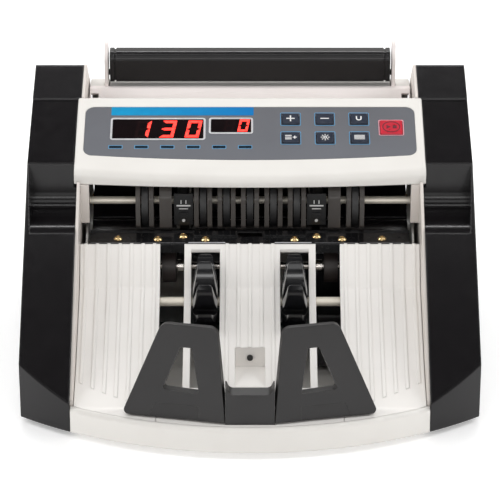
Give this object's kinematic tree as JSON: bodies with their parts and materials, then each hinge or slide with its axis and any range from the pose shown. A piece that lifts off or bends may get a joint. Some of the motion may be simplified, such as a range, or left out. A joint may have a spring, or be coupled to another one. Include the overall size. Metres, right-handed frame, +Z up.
{
  "type": "banknote counter",
  "caption": "Desktop banknote counter with rear hopper, sloping display and keypad, roller feed, twin impellers, ribbed stacker and A-shaped note stops",
  "frame": {"origin": "on the table, under the middle of the machine's outline", "axes": "+X to the operator's right along the front, -Y towards the operator, +Z up"},
  "size_m": [0.29, 0.275, 0.1804],
  "materials": {
    "warm_white_abs": "fine satin",
    "beige_abs": "satin",
    "black_abs": "satin gloss",
    "charcoal_plastic": "fine matt",
    "grey_plastic": "satin",
    "clear_plastic": "frosted",
    "black_rubber": "matt",
    "gloss_black_rubber": "polished",
    "belt_rubber": "matt",
    "printed_polyester": "satin print",
    "smoked_acrylic": "polished",
    "red_led": "lit",
    "key_plastic": "satin",
    "red_key_plastic": "satin",
    "circuit_board": "lacquered",
    "painted_steel": "satin powder coat",
    "zinc_steel": "zinc plated",
    "ground_steel": "ground",
    "motor_steel": "black zinc",
    "transformer_steel": "lacquered laminations",
    "bronze": "sintered",
    "brass": "plated",
    "black_nylon": "moulded"
  },
  "bodies": {
    "machine": {"base_tray": "warm_white_abs", "rubber_feet": "black_rubber", "left_side_cover": "black_abs", "right_side_cover": "black_abs", "left_inner_cheek": "beige_abs", "right_inner_cheek": "beige_abs", "display_housing": "warm_white_abs", "panel_overlay": "printed_polyester", "display_windows": "smoked_acrylic", "display_board": "circuit_board", "lit_digits": "red_led", "feed_table": "black_abs", "curved_note_guide": "black_abs", "roller_guide_comb": "grey_plastic", "note_sensors": "circuit_board", "exit_plate": "painted_steel", "exit_plate_screws": "brass", "stacker_plate_left": "warm_white_abs", "stacker_plate_middle": "warm_white_abs", "stacker_plate_right": "warm_white_abs", "note_stop_left": "charcoal_plastic", "note_stop_right": "charcoal_plastic", "note_stop_bar": "charcoal_plastic", "side_plate_left": "zinc_steel", "side_plate_right": "zinc_steel", "shaft_bushes": "bronze", "feed_belt": "belt_rubber", "stacker_motor": "motor_steel", "stacker_belt": "belt_rubber", "main_motor": "motor_steel", "main_belt": "belt_rubber", "main_board": "circuit_board", "transformer": "transformer_steel", "power_inlet": "black_nylon"},
    "hatch": {"rear_hatch_cover": "warm_white_abs", "hopper_plate": "warm_white_abs"},
    "flap": {"note_support_flap": "black_abs"},
    "guide_left": {"hopper_guide_left": "clear_plastic"},
    "guide_right": {"hopper_guide_right": "clear_plastic"},
    "count_rotor": {"count_shaft": "ground_steel", "count_rollers": "black_rubber", "count_pulleys": "black_nylon"},
    "feed_rotor": {"feed_shaft": "ground_steel", "feed_rollers": "black_rubber", "feed_pulley": "black_nylon"},
    "exit_rotor": {"exit_roller_shaft": "ground_steel"},
    "impeller_rotor": {"impeller_shaft": "ground_steel", "impeller_left": "gloss_black_rubber", "impeller_right": "gloss_black_rubber", "impeller_pulley": "black_nylon"},
    "main_motor_rotor": {"main_motor_pulley": "black_nylon"},
    "stacker_motor_rotor": {"stacker_motor_pulley": "black_nylon"},
    "rocker": {"power_rocker": "black_nylon"},
    "key_plus_body": {"key_plus": "key_plastic"},
    "key_minus_body": {"key_minus": "key_plastic"},
    "key_magnetic_body": {"key_magnetic": "key_plastic"},
    "key_add_body": {"key_add": "key_plastic"},
    "key_ultraviolet_body": {"key_ultraviolet": "key_plastic"},
    "key_batch_body": {"key_batch": "key_plastic"},
    "key_start_body": {"key_start": "red_key_plastic"}
  },
  "joints": [
    {"name": "hatch_hinge", "type": "hinge", "parent": "machine", "child": "hatch", "pos_m": [0, 0.131, 0.046], "axis": [-1, 0, 0], "range_deg": [0, 55]},
    {"name": "flap_hinge", "type": "hinge", "parent": "hatch", "child": "flap", "pos_m": [0, 0.1255, 0.1575], "axis": [-1, 0, 0], "range_deg": [0, 75]},
    {"name": "guide_left_slide", "type": "slide", "parent": "hatch", "child": "guide_left", "axis": [1, 0, 0], "range_m": [0, 0.029]},
    {"name": "guide_right_slide", "type": "slide", "parent": "hatch", "child": "guide_right", "axis": [-1, 0, 0], "range_m": [0, 0.029]},
    {"name": "count_spin", "type": "hinge", "parent": "machine", "child": "count_rotor", "pos_m": [0, 0.0275, 0.1035], "axis": [1, 0, 0], "continuous": true},
    {"name": "feed_spin", "type": "hinge", "parent": "machine", "child": "feed_rotor", "pos_m": [0, 0.0653, 0.0878], "axis": [1, 0, 0], "continuous": true},
    {"name": "exit_spin", "type": "hinge", "parent": "machine", "child": "exit_rotor", "pos_m": [0, 0.0075, 0.065], "axis": [1, 0, 0], "continuous": true},
    {"name": "impeller_spin", "type": "hinge", "parent": "machine", "child": "impeller_rotor", "pos_m": [0, -0.0265, 0.055], "axis": [1, 0, 0], "continuous": true},
    {"name": "main_motor_spin", "type": "hinge", "parent": "machine", "child": "main_motor_rotor", "pos_m": [0, 0.092, 0.034], "axis": [1, 0, 0], "continuous": true},
    {"name": "stacker_motor_spin", "type": "hinge", "parent": "machine", "child": "stacker_motor_rotor", "pos_m": [0, -0.0205, 0.0238], "axis": [1, 0, 0], "continuous": true},
    {"name": "rocker_tilt", "type": "hinge", "parent": "machine", "child": "rocker", "pos_m": [-0.042, 0.1339, 0.0225], "axis": [0, 0, 1], "range_deg": [0, 18]},
    {"name": "key_plus_press", "type": "slide", "parent": "machine", "child": "key_plus_body", "axis": [0, 0.3939, -0.9191], "range_m": [0, 0.0005], "stiffness_N_per_m": 1500},
    {"name": "key_minus_press", "type": "slide", "parent": "machine", "child": "key_minus_body", "axis": [0, 0.3939, -0.9191], "range_m": [0, 0.0005], "stiffness_N_per_m": 1500},
    {"name": "key_magnetic_press", "type": "slide", "parent": "machine", "child": "key_magnetic_body", "axis": [0, 0.3939, -0.9191], "range_m": [0, 0.0005], "stiffness_N_per_m": 1500},
    {"name": "key_add_press", "type": "slide", "parent": "machine", "child": "key_add_body", "axis": [0, 0.3939, -0.9191], "range_m": [0, 0.0005], "stiffness_N_per_m": 1500},
    {"name": "key_ultraviolet_press", "type": "slide", "parent": "machine", "child": "key_ultraviolet_body", "axis": [0, 0.3939, -0.9191], "range_m": [0, 0.0005], "stiffness_N_per_m": 1500},
    {"name": "key_batch_press", "type": "slide", "parent": "machine", "child": "key_batch_body", "axis": [0, 0.3939, -0.9191], "range_m": [0, 0.0005], "stiffness_N_per_m": 1500},
    {"name": "key_start_press", "type": "slide", "parent": "machine", "child": "key_start_body", "axis": [0, 0.3939, -0.9191], "range_m": [0, 0.0005], "stiffness_N_per_m": 1500}
  ],
  "couplings": [
    {"joint": "feed_spin", "follows": "count_spin", "ratio": 1},
    {"joint": "main_motor_spin", "follows": "count_spin", "ratio": 1.3333},
    {"joint": "stacker_motor_spin", "follows": "impeller_spin", "ratio": 2}
  ]
}
